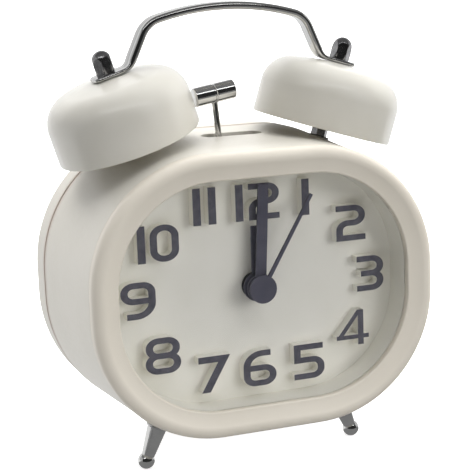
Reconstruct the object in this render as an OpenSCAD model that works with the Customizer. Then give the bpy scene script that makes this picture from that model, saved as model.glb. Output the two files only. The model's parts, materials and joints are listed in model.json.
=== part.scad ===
// Twin bell alarm clock: a rounded rectangular case with a dished bezel and raised numerals,
// two bells on threaded posts, a strap handle clamped under dome nuts, a hammer on a rocking
// lever driven by a small motor, and three feet that lean the dial back.
// Millimetres. +Z is up, the dial faces -Y and the clock rests on Z = 0.

/* [Case] */
// Width of the case across the bezel
case_w = 108; // [102:1:118]
// Height of the case across the bezel
case_h = 85; // [80:1:92]
// Radius of the four corners of the outline
case_r = 38.5; // [36:0.5:39.5]
// Growth of the outline on every side from the bezel's seam back to the rear cover
flare = 2.7; // [0:0.1:3.2]
// Depth from the bezel face to the rear face
body_d = 61.5; // [60:0.5:70]
// Thickness of the moulded walls
wall = 2.2; // [1.8:0.1:2.6]
// Width of the bezel ring round the window
bezel_w = 8.1; // [7.5:0.1:9]
// Rounding of the front edge
edge_r = 2.8; // [2:0.1:3.5]
// Rounding of the rear edge
rear_r = 4; // [3:0.5:5]
// Depth of the rear cover
cover_d = 14; // [12:0.5:16]
// Angle by which the clock leans back on its rear foot
lean = 5.7; // [3:0.1:8]

/* [Dial] */
// Depth of the dial floor below the bezel face
dial_y = 14; // [13.5:0.5:16]
// Height of the numerals above the dial floor
num_up = 3.5; // [2.5:0.1:4]
// Height of a numeral
num_h = 11; // [9:0.5:12]
// Width of a usual numeral
num_w = 8.6; // [7.5:0.1:9.4]
// Width of the strokes
stroke = 2.1; // [1.6:0.1:2.4]
// Thickness of the window
lens_t = 1.5; // [1.2:0.1:2]
// Length of the minute hand
minute_l = 31.4; // [27:0.2:31.6]
// Length of the hour hand
hour_l = 18.7; // [16:0.2:19.4]
// Length of the second hand
second_l = 32; // [27:0.2:32.4]
// Width of the hour and minute hands
hand_w = 3.5; // [2.5:0.1:4]

/* [Bells] */
// Radius of a bell at its rim
bell_r = 22.2; // [20:0.1:23]
// Height of a bell
bell_h = 21; // [19:0.2:24]
// Thickness of a bell
bell_t = 1.2; // [1:0.1:1.6]
// Outward tilt of each bell
bell_tilt = 17.2; // [14:0.2:20]
// Forward nod of the bells and the handle, front rims down
bell_nod = 2.5; // [0:0.5:5]
// Height of the rim centre above the case
bell_lift = 2.9; // [2.6:0.1:6]
// Depth of the bells' plane behind the bezel face
bell_y = 32.2; // [30:0.2:33]
// Across flats of the dome nuts
dome_af = 5.5; // [5:0.1:6.4]
// Width of the handle strap
strap_w = 6.2; // [5.4:0.2:7]
// Thickness of the handle strap
strap_t = 2.3; // [1.8:0.1:2.6]

/* [Hammer] */
// Height of the hammer head's centre above the top of the case
head_up = 14.7; // [13:0.1:16]
// Length of the hammer head
head_l = 13.2; // [11:0.2:13.6]
// Radius of the hammer head
head_r = 3; // [2.6:0.1:3.4]
// Gap between the resting head and the left bell
head_gap = 1.7; // [1.6:0.1:3]
// Lean of the resting hammer to the left
rod_lean = 4.5; // [3:0.1:5]
// Tilt of the head on its rod, right end up
head_tilt = 5; // [0:0.5:8]

/* [Feet] */
// Length of a front leg from the case to the middle of its ball
leg_l = 12.8; // [11:0.1:15]
// Radius of the ball
ball_r = 2.6; // [2.3:0.1:2.8]
// Depth of the front legs behind the bezel face
leg_y = 21.4; // [19:0.2:23]

/* [Hidden] */
$fn = 64;
// clearances
run = 0.05;
slip = 0.1;
near = 0.3;
grip = 0.02;
// corner centres of the outline
cx = case_w / 2 - case_r;
cz = case_h / 2 - case_r;
// depths, front to back
lens_y = 3;
lens_back = lens_y + lens_t;
seam_y = 5;
skirt_y = 12;
flange_t = 1.4;
ledge_y = skirt_y + flange_t;
ledge_t = 2;
tray_t = 1.6;
tray_back = dial_y + tray_t;
move_split = tray_back + 6;
move_back = move_split + 5.8;
cover_y = body_d - cover_d;
plate_t = 2.4;
plate_in = body_d - plate_t;
lip_l = 3;
// rings, measured outward from a corner centre
lip_r = case_r - bezel_w;
lens_r = lip_r + 2;
skirt_o = case_r - wall - slip;
skirt_i = skirt_o - 1.8;
tray_r = lens_r - 0.2;
back_r = case_r + flare;
cover_o = case_r + flare_at(cover_y - lip_l) - wall - slip;
cover_i = cover_o - 1.8;
groove = 0.35;
rear_groove = 1;
rear_groove_in = 0.5;
// hand stack, depth of each front face
second_y = 6.2;
minute_y = 8.4;
hour_y = 10.6;
alarm_y = 12.4;
hand_t = 0.8;
alarm_l = 15;
alarm_w = 2.2;
second_w = 1.1;
alarm_hub = 3.6;
hour_hub = 4.5;
minute_hub = 4.2;
second_hub = 4.3;
minute_at = 3.5;
second_at = 31;
arbor_out = 0.3;
hub_cap = 0.25;
bush_front = dial_y - 0.6;
bush_r = 4;
second_ar = 0.6;
minute_ar = 1.15;
hour_ar = 1.75;
alarm_ar = 2.4;
arbor_back = move_split - 1;
// numerals
num_inset = 8.4;
win_x = case_w / 2 - bezel_w;
win_z = case_h / 2 - bezel_w;
// bells
bell_bear = 21.8;
bell_case = case_r + flare_at(bell_y);
bell_x = cx + (bell_case + bell_lift) * sin(bell_bear);
bell_z = cz + (bell_case + bell_lift) * cos(bell_bear);
shoulder = 9.4;
crown = 75;
axis_gap = (bell_case + bell_lift) * sin(bell_bear - bell_tilt);
seat_s = (bell_case + bell_lift) * cos(bell_bear - bell_tilt)
  - sqrt(bell_case * bell_case - axis_gap * axis_gap) + 0.5;
pad_s = seat_s + 4;
washer_t = 0.8;
washer_r = 3.5;
post_r = 1.45;
post_hole = 1.7;
spacer_af = 4.6;
nut_t = 2.4;
nut_af = 5.5;
hex_turn = 48;
tab_t = 1.2;
dome_s = bell_h + tab_t;
dome_h = 7.1;
dome_bore = 5.4;
// handle path, right half, from the dome nut to the crown
tab_in = 5.2;
tab_out = 4.7;
tab_w = 4;
bend_a = 48.8;
bend_b = 50;
low_r = 5;
leg_straight = 7.4;
high_r = 8;
tab_lift = bell_h + strap_t / 2 + 0.05;
h_dir0 = 180 - bell_tilt;
h0 = on_bell(tab_lift, -tab_in);
h_c1 = h0 + low_r * unit(h_dir0 - 90);
h_dir1 = h_dir0 - bend_a;
h1 = h_c1 + low_r * unit(h_dir1 + 90);
h2 = h1 + leg_straight * unit(h_dir1);
h_c2 = h2 + high_r * unit(h_dir1 + 90);
h_dir2 = h_dir1 + bend_b;
h3 = h_c2 + high_r * unit(h_dir2 - 90);
crown_half = 180 - h_dir2;
top_r = h3[0] / sin(crown_half);
top_c = [0, h3[1] - top_r * cos(crown_half)];
strap_more = 0.06;
strap_in = 0.2;
crown_in = 0.15;
// hammer
head_z = case_h / 2 + head_up;
wall_x = bell_x + (head_z - bell_z - bell_r * sin(bell_tilt)) * tan(bell_tilt) - bell_r * cos(bell_tilt);
head_x = -wall_x + head_gap + head_l / 2;
pivot_z = 10;
pivot_x = head_x + (head_z - pivot_z) * tan(rod_lean);
rod_len = (head_z - pivot_z) / cos(rod_lean);
rod_r = 0.95;
lever_t = 3;
lever_y = bell_y - lever_t / 2;
lever_back = lever_y + lever_t;
socket_l = 15;
socket_in = 8;
pin_r = 1.5;
clip_t = 0.6;
crank_z = -6;
crank_e = 1.7;
crank_pin_r = 0.9;
swing_mid = 0.2;
crank_x = pivot_x - (pivot_z - crank_z) * tan(swing_mid);
crank_rest = pivot_x + (pivot_z - crank_z) * tan(rod_lean) - crank_x;
crank_turn = acos(crank_rest / crank_e);
disc_y = lever_back + 1.6;
disc_t = 2;
bracket_y = disc_y + disc_t + 0.8;
bracket_t = 1.5;
bracket_back = bracket_y + bracket_t;
motor_r = 7.75;
motor_flat = 6;
motor_l = 15;
motor_screw_x = 5;
nose_r = 2.5;
shaft_r = 1;
shaft_in = 10;
plate_side = 10;
plate_over = 6;
arm_h = 7;
slot_l = 20;
slot_w = 6;
slot_x = 1.2;
// movement, and the posts of the dial tray that carry it and the bracket
move_w = 54;
move_r = 4;
carry_x = move_w / 2 + 4.5;
carry_z = 4;
ear_z = -14;
ear_t = 3;
boss_r = 3;
pilot = 0.85;
// setting stems and knobs
stem_x = move_w / 2 - 8;
stem_z = move_w / 2 - 7;
stem_r = 1.5;
stem_in = move_back - 4;
stem_boss = 3.4;
knob_r = 7;
knob_t = 5;
knob_y = body_d + 0.6;
knob_end = knob_y + knob_t;
knob_round = 0.6;
// rear cover screws
tower_b = 40.5;
tower_r = 3.5;
tower_l = 13;
tower_sunk = 1.3;
tower_d = case_r + flare_at(cover_y - tower_l) - wall + tower_sunk - tower_r;
tower_x = cx + tower_d * sin(tower_b);
tower_z = cz + tower_d * cos(tower_b);
screw_seat = cover_y + 4;
cover_screw_l = 12;
cover_head_r = 2.6;
cover_head_h = 1.8;
// battery bay
cell_r = 7.1;
cell_l = 49.2;
nub_l = 1;
cell_z = -22;
bay_x = 26.2;
bay_z = cell_r + 0.5;
bay_wall = 1.5;
cell_y = plate_in - cell_r - 0.4;
bay_y = cell_y - cell_r - slip;
leaf_t = 0.5;
door_t = 1.4;
door_x = bay_x + 3;
door_up = bay_z + 2.4;
door_dn = bay_z + 2.4;
door_in = body_d - door_t;
hinge_r = door_t / 2;
pintle_r = 0.5;
pintle_l = 1.2;
// alarm switch
switch_z = 27;
switch_w = 12;
switch_h = 6;
switch_d = 5;
slide_l = 4;
thumb_l = 5;
thumb_w = 3;
// feet
leg_bear = 21.4;
leg_case = case_r + flare_at(leg_y);
leg_spot = 0.35;
leg_collar = 3.5;
leg_top = 3;
leg_neck = 2;
thread_r = 1.45;
leg_pad = leg_case - wall - 1.4;
flat_cut = 0.2;
ball_z = -cz - (leg_case + leg_l) * cos(leg_bear);
z_floor = leg_y * sin(lean) - ball_z * cos(lean) + ball_r - flat_cut;
peg_r = 3;
pad_r = 4.6;
peg_y = (cover_y + rear_groove + body_d - rear_r) / 2;
peg_z = (peg_r - flat_cut - z_floor + peg_y * sin(lean)) / cos(lean);
peg_top = 3.6;
peg_seat = -cz - back_r;
stud_r = 1.8;
stud_l = 3.2;
// middle of the depth, from the lower front edge to the upper edge of a knob
y_front = edge_r * cos(lean) - (case_h / 2 - edge_r) * sin(lean) - edge_r;
y_rear = knob_end * cos(lean) + (stem_z + knob_r - knob_round) * sin(lean);
y_mid = (y_front + y_rear) / 2;

// colours
ivory = [0.93, 0.91, 0.85];
pale = [0.9, 0.88, 0.82];
slate = [0.28, 0.27, 0.33];
steel = [0.62, 0.63, 0.65];
dark = [0.2, 0.2, 0.22];
clear = [0.85, 0.9, 0.92, 0.35];

// a point of the right bell: height along its axis from the rim, offset square to it
function on_bell(t, off) = [bell_x + t * sin(bell_tilt) + off * cos(bell_tilt),
                            bell_z + t * cos(bell_tilt) - off * sin(bell_tilt)];
function unit(a) = [cos(a), sin(a)];
// how far the outline has grown at a depth
function flare_at(y) = flare * (y - seam_y) / (cover_y - seam_y);

// leans the clock back and sets its feet on the floor
module stance() {
  translate([0, -y_mid, z_floor]) rotate([-lean, 0, 0]) children();
}

// turns a front view drawing upright, its z height becoming minus the depth
module face() {
  rotate([90, 0, 0]) children();
}

// an upright slab of a front view drawing between two depths
module slab(front, back) {
  face() translate([0, 0, -back]) linear_extrude(back - front) children();
}

// a round bar along the depth
module bar(x, z, r, front, back) {
  slab(front, back) translate([x, z]) circle(r);
}

module quarter(r, qx, qy) {
  intersection() {
    circle(r);
    translate([qx > 0 ? 0 : -r, qy > 0 ? 0 : -r]) square(r);
  }
}

// rounded rectangle: a cross and four quarter discs that share its edges
module rounded(w, h, r) {
  x = w / 2;
  y = h / 2;
  a = x - r;
  b = y - r;
  polygon([[-a, -y], [a, -y], [a, -b], [x, -b], [x, b], [a, b],
           [a, y], [-a, y], [-a, b], [-x, b], [-x, -b], [-a, -b]]);
  for (sx = [-1, 1], sy = [-1, 1])
    translate([sx * a, sy * b]) quarter(r, sx, sy);
}

// outline of the case drawn in to a given corner radius
module outline(r) {
  rounded(2 * (cx + r), 2 * (cz + r), r);
}

module band(r_out, r_in) {
  difference() {
    outline(r_out);
    outline(r_in);
  }
}

// carries a profile round the outline, its x measured outward from the corner centres
module sweep_round() {
  for (q = [[1, 1, 0], [-1, 1, 90], [-1, -1, 180], [1, -1, 270]])
    translate([q[0] * cx, q[1] * cz, 0]) rotate([0, 0, q[2]]) rotate_extrude(angle = 90) children();
  for (q = [0, 180]) {
    rotate([0, 0, q]) translate([cx, cz, 0]) rotate([90, 0, 0]) linear_extrude(2 * cz) children();
    rotate([0, 0, q + 90]) translate([cz, cx, 0]) rotate([90, 0, 0]) linear_extrude(2 * cx) children();
  }
}

module slot_2d(l, w) {
  square([l - w, w], center = true);
  translate([l / 2 - w / 2, 0]) intersection() {
    circle(w / 2);
    translate([0, -w]) square(2 * w);
  }
  translate([w / 2 - l / 2, 0]) intersection() {
    circle(w / 2);
    translate([-2 * w, -w]) square(2 * w);
  }
}

// both sides of the clock
module both() {
  children();
  mirror([1, 0, 0]) children();
}

// nods the bells and the handle forward about the line through the rim centres
module nod() {
  translate([0, bell_y, bell_z]) rotate([bell_nod, 0, 0]) children();
}

// frame of the right bell: z along the bell's axis with zero at the rim
module bell_frame() {
  nod() translate([bell_x, 0, 0]) rotate([0, bell_tilt, 0]) children();
}

// frame of the right front leg: z outward with zero at the case's surface
module leg_frame() {
  translate([cx, leg_y, -cz]) rotate([0, 180 - leg_bear, 0]) translate([0, 0, leg_case]) children();
}

// frame of the hammer: z up the rod with zero at the pivot
module hammer_frame() {
  translate([pivot_x, 0, pivot_z]) rotate([0, -rod_lean, 0]) children();
}

// a pan head screw with its head's seat at zero, its shank towards minus z
module screw(shank_r, shank_l, head_rr, head_hh) {
  difference() {
    rotate_extrude() polygon([[0, -shank_l], [shank_r * 0.6, -shank_l], [shank_r, -shank_l + 0.8],
      [shank_r, 0], [head_rr, 0], [head_rr, head_hh * 0.6], [head_rr - 0.5, head_hh], [0, head_hh]]);
    for (q = [0, 90])
      rotate([0, 0, q]) translate([0, 0, head_hh])
        cube([head_rr * 1.1, 0.5, head_hh * 0.9], center = true);
  }
}

module rear_screw(x, z, seat, shank_r, shank_l, head_rr, head_hh) {
  translate([x, seat, z]) rotate([-90, 0, 0]) screw(shank_r, shank_l, head_rr, head_hh);
}

module front_bezel() color(ivory) stance() face() sweep_round() {
  polygon([[lip_r, -lens_y], [lip_r, -2.3], [lip_r + 0.25, -1.85], [lip_r + 0.75, -1.6],
    [lip_r + 1.1, -1.6], [case_r - edge_r, 0], [case_r - edge_r, -edge_r], [case_r, -edge_r],
    [case_r, groove - seam_y], [case_r - groove, groove - seam_y], [case_r - groove, -seam_y],
    [skirt_o, -seam_y], [skirt_o, -skirt_y], [skirt_i, -skirt_y], [skirt_i, -lens_back - slip],
    [lens_r + slip, -lens_back - slip], [lens_r + slip, -lens_y]]);
  translate([case_r - edge_r, -edge_r]) quarter(edge_r, 1, 1);
}

module case_shell() color(ivory) stance() difference() {
  union() {
    face() sweep_round() polygon([[case_r, -seam_y], [back_r, -cover_y], [back_r - wall, -cover_y],
      [case_r - wall, -seam_y]]);
    slab(ledge_y, ledge_y + ledge_t) band(case_r - 1, skirt_i - 0.6);
    for (sz = [-1, 1])
      both() bar(tower_x, sz * tower_z, tower_r, cover_y - tower_l, cover_y);
    both() bell_frame() translate([0, 0, -pad_s]) cylinder(r = 6, h = pad_s - seat_s - 1);
    both() translate([cx, leg_y, -cz]) rotate([0, 180 - leg_bear, 0])
      translate([0, 0, leg_pad]) cylinder(r = pad_r, h = leg_case - 0.8 - leg_pad);
  }
  both() bell_frame() translate([0, 0, -seat_s]) cylinder(r = washer_r + 0.2, h = 4);
  both() bell_frame() translate([0, 0, -pad_s - 4]) cylinder(r = post_hole, h = pad_s + 6);
  translate([slot_x, bell_y, case_h / 2 - 5]) linear_extrude(10) slot_2d(slot_l, slot_w);
  both() leg_frame() translate([0, 0, -leg_spot]) cylinder(r = leg_collar + slip, h = 4);
  both() leg_frame() translate([0, 0, -10]) cylinder(r = thread_r + slip, h = 12);
  for (sz = [-1, 1])
    both() bar(tower_x, sz * tower_z, pilot + 0.3, cover_y - tower_l + 2, cover_y + 1);
}

// the alarm switch's slider runs in this window
module switch_way() translate([0, switch_z])
  square([slide_l + thumb_l + 2 * slip, thumb_w + 2 * slip], center = true);

module rear_cover() color(ivory) stance() difference() {
  union() {
    face() sweep_round() {
      polygon([[cover_i - 6, -plate_in], [cover_i, -plate_in], [cover_i, lip_l - cover_y],
        [cover_o, lip_l - cover_y], [cover_o, -cover_y], [back_r - rear_groove_in, -cover_y],
        [back_r - rear_groove_in, -cover_y - rear_groove], [back_r, -cover_y - rear_groove],
        [back_r, rear_r - body_d],
        [back_r - rear_r, rear_r - body_d], [back_r - rear_r, -body_d], [cover_i - 6, -body_d]]);
      translate([back_r - rear_r, rear_r - body_d]) quarter(rear_r, 1, -1);
    }
    slab(plate_in, body_d) outline(cover_i - 4);
    for (sz = [-1, 1])
      both() bar(tower_x, sz * tower_z, tower_r, cover_y, plate_in + 1);
    slab(bay_y - bay_wall, plate_in + 0.5) translate([0, cell_z])
      square([2 * (bay_x + bay_wall), 2 * (bay_z + bay_wall)], center = true);
  }
  for (sz = [-1, 1]) {
    both() bar(tower_x, sz * tower_z, 1.4, cover_y - 1, body_d + 1);
    both() bar(tower_x, sz * tower_z, cover_head_r + 0.4, screw_seat, body_d + 1);
    both() bar(tower_x, sz * tower_z, tower_r + near, cover_y - lip_l - 1, cover_y);
  }
  both() bar(stem_x, stem_z, stem_r + 0.4, plate_in - 1, body_d + 1);
  slab(bay_y, body_d + 1) translate([0, cell_z]) square([2 * bay_x, 2 * bay_z], center = true);
  slab(door_in, body_d + 1) translate([0, cell_z + (door_up - door_dn) / 2])
    square([2 * (door_x + slip), door_up + door_dn + 2 * near], center = true);
  translate([0, body_d - hinge_r, cell_z - door_dn + hinge_r]) rotate([0, 90, 0])
    cylinder(r = pintle_r + run, h = 2 * (door_x + pintle_l + near), center = true);
  slab(plate_in - 1, body_d + 1) switch_way();
  translate([0, peg_y, peg_seat - 1]) cylinder(r = stud_r + slip, h = stud_l + 1.2);
  slab(door_in, body_d + 1) translate([0, cell_z + door_up + near]) slot_2d(12, 4);
}

module lens() color(clear) stance() slab(lens_y, lens_back) outline(lens_r);

module dial_tray() color(pale) stance() difference() {
  union() {
    slab(dial_y, tray_back) outline(tray_r);
    slab(lens_back, dial_y + 0.5) band(tray_r, lip_r + 0.2);
    slab(skirt_y, ledge_y) band(skirt_o - slip, tray_r - 0.4);
    both() bar(carry_x, carry_z, boss_r, dial_y + 0.5, bracket_y);
    both() bar(carry_x, ear_z, boss_r, dial_y + 0.5, tray_back + 2);
  }
  bar(0, 0, bush_r + slip, dial_y - 1, tray_back + 1);
  both() bar(carry_x, carry_z, pilot, bracket_y - 8, bracket_y + 1);
  both() bar(carry_x, ear_z, pilot, dial_y + 0.8, tray_back + 3);
}

// raised numerals
module ring_box(w, h, r) {
  difference() {
    rounded(w, h, r);
    rounded(w - 2 * stroke, h - 2 * stroke, r - stroke);
  }
}

module half_ring(w, h, r, side) {
  intersection() {
    ring_box(w, h, r);
    translate([side > 0 ? 0 : -w, -h]) square([w, 2 * h]);
  }
}

module flat_bar(x0, x1, z) {
  translate([x0, z - stroke / 2]) square([x1 - x0, stroke]);
}

module digit(d) {
  w = num_w;
  h = num_h;
  loop_h = (h + stroke) / 2;
  up = h / 2 - loop_h / 2;
  r = 3.1;
  top = h / 2 - stroke / 2;
  if (d == 0) ring_box(w * 0.95, h, 3.6);
  if (d == 1) square([2.6, h], center = true);
  if (d == 2) {
    translate([0, up]) half_ring(w, loop_h, r, 1);
    translate([0, -up]) half_ring(w, loop_h, r, -1);
    flat_bar(-w / 2, 0, top);
    flat_bar(0, w / 2, -top);
  }
  if (d == 3) {
    translate([0, up]) half_ring(w, loop_h, r, 1);
    translate([0, -up]) half_ring(w, loop_h, r, 1);
    flat_bar(-w / 2, 0, top);
    flat_bar(-w / 4, 0, 0);
    flat_bar(-w / 2, 0, -top);
  }
  if (d == 4) {
    wide = w * 1.15;
    stem = wide * 0.2;
    flat_bar(-wide / 2, wide / 2, -h * 0.2);
    translate([stem - stroke / 2, -h / 2]) square([stroke, h]);
    polygon([[-wide / 2, -h * 0.2 + stroke / 2], [stem - stroke * 0.9, h / 2], [stem + stroke / 2, h / 2],
      [stem + stroke / 2, h / 2 - 0.4], [stem - stroke / 2, h / 2 - 1.2],
      [-wide / 2 + stroke * 1.15, -h * 0.2 + stroke / 2]]);
  }
  if (d == 5) {
    translate([0, -up]) half_ring(w, loop_h, r, 1);
    flat_bar(-w / 2, w / 2 - 0.4, top);
    flat_bar(-w / 2, 0, 0);
    flat_bar(-w / 2, 0, -top);
    translate([-w / 2, -stroke / 2]) square([stroke, h / 2 + stroke / 2]);
  }
  if (d == 6) {
    translate([0, -up]) ring_box(w, loop_h, r);
    translate([0, up]) half_ring(w, loop_h, r, -1);
    flat_bar(0, w / 2 - 0.4, top);
    translate([-w / 2, -up]) square([stroke, 2 * up]);
  }
  if (d == 7) {
    flat_bar(-w / 2, w / 2, top);
    foot = -w * 0.22;
    slant = stroke * 1.15;
    polygon([[w / 2, top], [w / 2 - slant, top], [foot, -h / 2], [foot + slant, -h / 2]]);
  }
  if (d == 8) {
    translate([0, up]) ring_box(w, loop_h, r);
    translate([0, -up]) ring_box(w, loop_h, r);
  }
  if (d == 9) rotate(180) digit(6);
}

// an hour's place: the numerals follow the shape of the window
function hour_x(n) = n == 0 ? 0 : n == 3 ? win_x - num_inset : n == 1 ? win_x * 0.343 : win_x * 0.675;
function hour_z(n) = n == 3 ? 0 : n == 2 ? win_z * 0.487 : win_z - num_inset;

module hour(n) {
  side = n > 0 && n < 6 ? 1 : -1;
  up = n > 3 && n < 9 ? -1 : 1;
  q = n <= 3 ? n : n <= 6 ? 6 - n : n <= 9 ? n - 6 : 12 - n;
  gap = 1.6;
  translate([side * hour_x(q), up * hour_z(q)]) {
    if (n < 10) digit(n);
    if (n == 10) {
      translate([-num_w * 0.475 - gap / 2, 0]) digit(1);
      translate([1.3 + gap / 2, 0]) digit(0);
    }
    if (n == 11) {
      translate([-2.6, 0]) digit(1);
      translate([2.6, 0]) digit(1);
    }
    if (n == 12) {
      translate([-num_w / 2 - gap / 2, 0]) digit(1);
      translate([1.3 + gap / 2, 0]) digit(2);
    }
  }
}

module hour_numerals() color(slate) stance()
  for (n = [1 : 12]) slab(dial_y - num_up, dial_y) hour(n);

// hand: a tapered bar with a round hub, turned clockwise from twelve; a cap closes the bore
module hand(front, l, w, hub, arbor_r, turn, cap = 0) difference() {
  tip = w - 0.2;
  bore = cap > 0 ? front + cap : front - 1;
  slab(front, front + hand_t) rotate(-turn) {
    polygon([[-w / 2, 0], [w / 2, 0], [tip / 2, l], [-tip / 2, l]]);
    circle(hub);
  }
  bar(0, 0, arbor_r + grip, bore, front + hand_t + 1);
}

module tube(r_out, r_in, front, back) {
  slab(front, back) difference() {
    circle(r_out);
    circle(r_in);
  }
}

module alarm_hand() color(slate) stance()
  hand(alarm_y, alarm_l, alarm_w, alarm_hub, alarm_ar, 0);
module hour_hand() color(slate) stance()
  hand(hour_y, hour_l, hand_w, hour_hub, hour_ar, 0);
module minute_hand() color(slate) stance()
  hand(minute_y, minute_l, hand_w, minute_hub, minute_ar, minute_at);
module second_hand() color(slate) stance()
  hand(second_y, second_l, second_w, second_hub, second_ar, second_at, hub_cap);

// nested arbors, each running in the next
module alarm_arbor() color(steel) stance()
  tube(alarm_ar, hour_ar + run, alarm_y - arbor_out, arbor_back);
module hour_arbor() color(steel) stance()
  tube(hour_ar, minute_ar + run, hour_y - arbor_out, arbor_back);
module minute_arbor() color(steel) stance()
  tube(minute_ar, second_ar + run, minute_y - arbor_out, arbor_back);
module second_arbor() color(steel) stance()
  bar(0, 0, second_ar, second_y + hub_cap + grip, arbor_back);

module movement_case() color(dark) stance() difference() {
  union() {
    slab(tray_back, move_split) rounded(move_w, move_w, move_r);
    bar(0, 0, bush_r, bush_front, tray_back + 1);
    slab(tray_back + 2, tray_back + 2 + ear_t) translate([0, ear_z])
      square([2 * (carry_x + 2.6), 5.2], center = true);
  }
  bar(0, 0, alarm_ar + run, bush_front - 1, arbor_back + 0.2);
  both() bar(carry_x, ear_z, 1.1, tray_back, move_split);
}

module movement_cover() color(dark) stance() difference() {
  union() {
    slab(move_split, move_back) rounded(move_w, move_w, move_r);
    both() bar(stem_x, stem_z, stem_boss, move_back - 1, move_back + 1.5);
  }
  both() bar(stem_x, stem_z, stem_r + run, stem_in - 0.2, move_back + 3);
}

module movement_screws() color(steel) stance()
  both() rear_screw(carry_x, ear_z, tray_back + 2 + ear_t, pilot - run, 4.2 + tray_t - 0.8, 1.9, 1.3);

module stem(side) bar(side * stem_x, stem_z, stem_r, stem_in, knob_end - 1.4);

// a setting knob with a notched edge
module knob(side) difference() {
  translate([side * stem_x, 0, stem_z]) rotate([-90, 0, 0]) translate([0, 0, knob_y]) rotate_extrude()
    polygon([[0, 0], [knob_r - 0.4, 0], [knob_r, 0.4], [knob_r, knob_t - knob_round],
      [knob_r - knob_round, knob_t], [0, knob_t]]);
  bar(side * stem_x, stem_z, stem_r + grip, knob_y - 1, knob_end - 1.4);
  notch_d = knob_r + 0.35;
  for (q = [0 : 15 : 345])
    bar(side * stem_x + notch_d * cos(q), stem_z + notch_d * sin(q), 0.7, knob_y - 1, knob_end + 1);
}

module time_stem() color(steel) stance() stem(-1);
module time_knob() color(dark) stance() knob(-1);
module alarm_stem() color(steel) stance() stem(1);
module alarm_knob() color(dark) stance() knob(1);

// half section of a bell drawn in by a distance: a shouldered block under the crown's curve
module bell_half(inset) {
  rx = bell_r - shoulder;
  rise = sqrt(pow(crown - shoulder, 2) - rx * rx);
  sz = round(1000 * (bell_h - crown + rise + 0.02)) / 1000;
  meet = round(1000 * rx * (crown - inset) / (crown - shoulder)) / 1000;
  intersection() {
    union() {
      square([bell_r - inset, sz]);
      square([meet, bell_h]);
      translate([rx, sz]) quarter(shoulder - inset, 1, 1);
    }
    translate([0, bell_h - crown]) circle(crown - inset, $fn = 256);
  }
}

// bell of one even thickness with a rounded rim and a hole for its post
module bell() bell_frame() rotate_extrude() {
  difference() {
    bell_half(0);
    bell_half(bell_t);
    square([bell_r + 1, bell_t / 2]);
    square([post_hole, 2 * bell_h]);
  }
  translate([bell_r - bell_t / 2, bell_t / 2]) {
    quarter(bell_t / 2, 1, -1);
    quarter(bell_t / 2, -1, -1);
  }
}

module right_bell() color(ivory) stance() bell();
module left_bell() color(ivory) stance() mirror([1, 0, 0]) bell();

module bell_posts() color(steel) stance() both() bell_frame() {
  tail = pad_s + nut_t + 1.5;
  translate([0, 0, -tail]) cylinder(r = post_r, h = tail + dome_s + dome_bore - 0.4);
}

module bell_spacers() color(steel) stance() both() bell_frame() difference() {
  spacer_l = seat_s - washer_t + bell_h - bell_t - near;
  translate([0, 0, washer_t - seat_s]) rotate([0, 0, hex_turn])
    cylinder(r = spacer_af / 2 / cos(30), h = spacer_l, $fn = 6);
  translate([0, 0, -seat_s]) cylinder(r = post_r + run, h = seat_s + bell_h);
}

module post_washers() color(steel) stance() both() bell_frame() translate([0, 0, -seat_s]) difference() {
  cylinder(r = washer_r, h = washer_t);
  translate([0, 0, -1]) cylinder(r = post_hole, h = washer_t + 2);
}

module post_nuts() color(steel) stance() both() bell_frame()
  translate([0, 0, -pad_s - nut_t]) difference() {
    cylinder(r = nut_af / 2 / cos(30), h = nut_t, $fn = 6);
    translate([0, 0, -1]) cylinder(r = post_r + run, h = nut_t + 2);
  }

// dome nut: a tall hexagon whose top is turned to a dome
module dome_nuts() color(steel) stance() both() bell_frame() translate([0, 0, dome_s]) difference() {
  corner = dome_af / 2 / cos(30);
  dome_r = corner - 0.12;
  intersection() {
    rotate([0, 0, hex_turn]) cylinder(r = corner, h = dome_h, $fn = 6);
    rotate_extrude() {
      square([corner + 1, dome_h - dome_r]);
      translate([0, dome_h - dome_r]) quarter(dome_r, 1, 1);
    }
  }
  translate([0, 0, -1]) cylinder(r = post_r + run, h = dome_bore + 1);
}

// strap handle: straight legs and bends with one rounded section, flattened to tabs at its ends
// the bends are a hair fuller, and the runs between them reach a little way into them
module strap_section(more) rounded(strap_t + more, strap_w + more, strap_t / 2 - 0.1);

module strap_bend(c, r, from, turn) translate([c[0], c[1], 0]) rotate([0, 0, from])
  rotate_extrude(angle = turn) translate([r, 0]) strap_section(strap_more);

module strap_run(p, dir, l) translate([p[0], p[1], 0]) rotate([0, 0, dir]) translate([-strap_in, 0, 0])
  rotate([90, 0, 90]) linear_extrude(l + 2 * strap_in) strap_section(0);

module carry_handle() color(steel) stance() {
  nod() translate([0, 0, -bell_z]) face() {
    translate([0, top_c[1], 0]) rotate([0, 0, 90 - crown_half - crown_in])
      rotate_extrude(angle = 2 * (crown_half + crown_in)) translate([top_r, 0]) strap_section(0);
    both() {
      strap_run(h0, h_dir0 + 180, 0.4);
      strap_bend(h_c1, low_r, h_dir1 + 90, bend_a);
      strap_run(h1, h_dir1, leg_straight);
      strap_bend(h_c2, high_r, h_dir1 - 90, bend_b);
    }
  }
  both() bell_frame() translate([0, 0, bell_h]) linear_extrude(tab_t) difference() {
    root = strap_w / 2 - 0.6;
    polygon([[-tab_in - strap_in, -root], [-tab_w, -tab_w], [tab_out - 1.8, -tab_w], [tab_out, -2.4],
      [tab_out, 2.4], [tab_out - 1.8, tab_w], [-tab_w, tab_w], [-tab_in - strap_in, root]]);
    circle(post_hole);
  }
}

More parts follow.
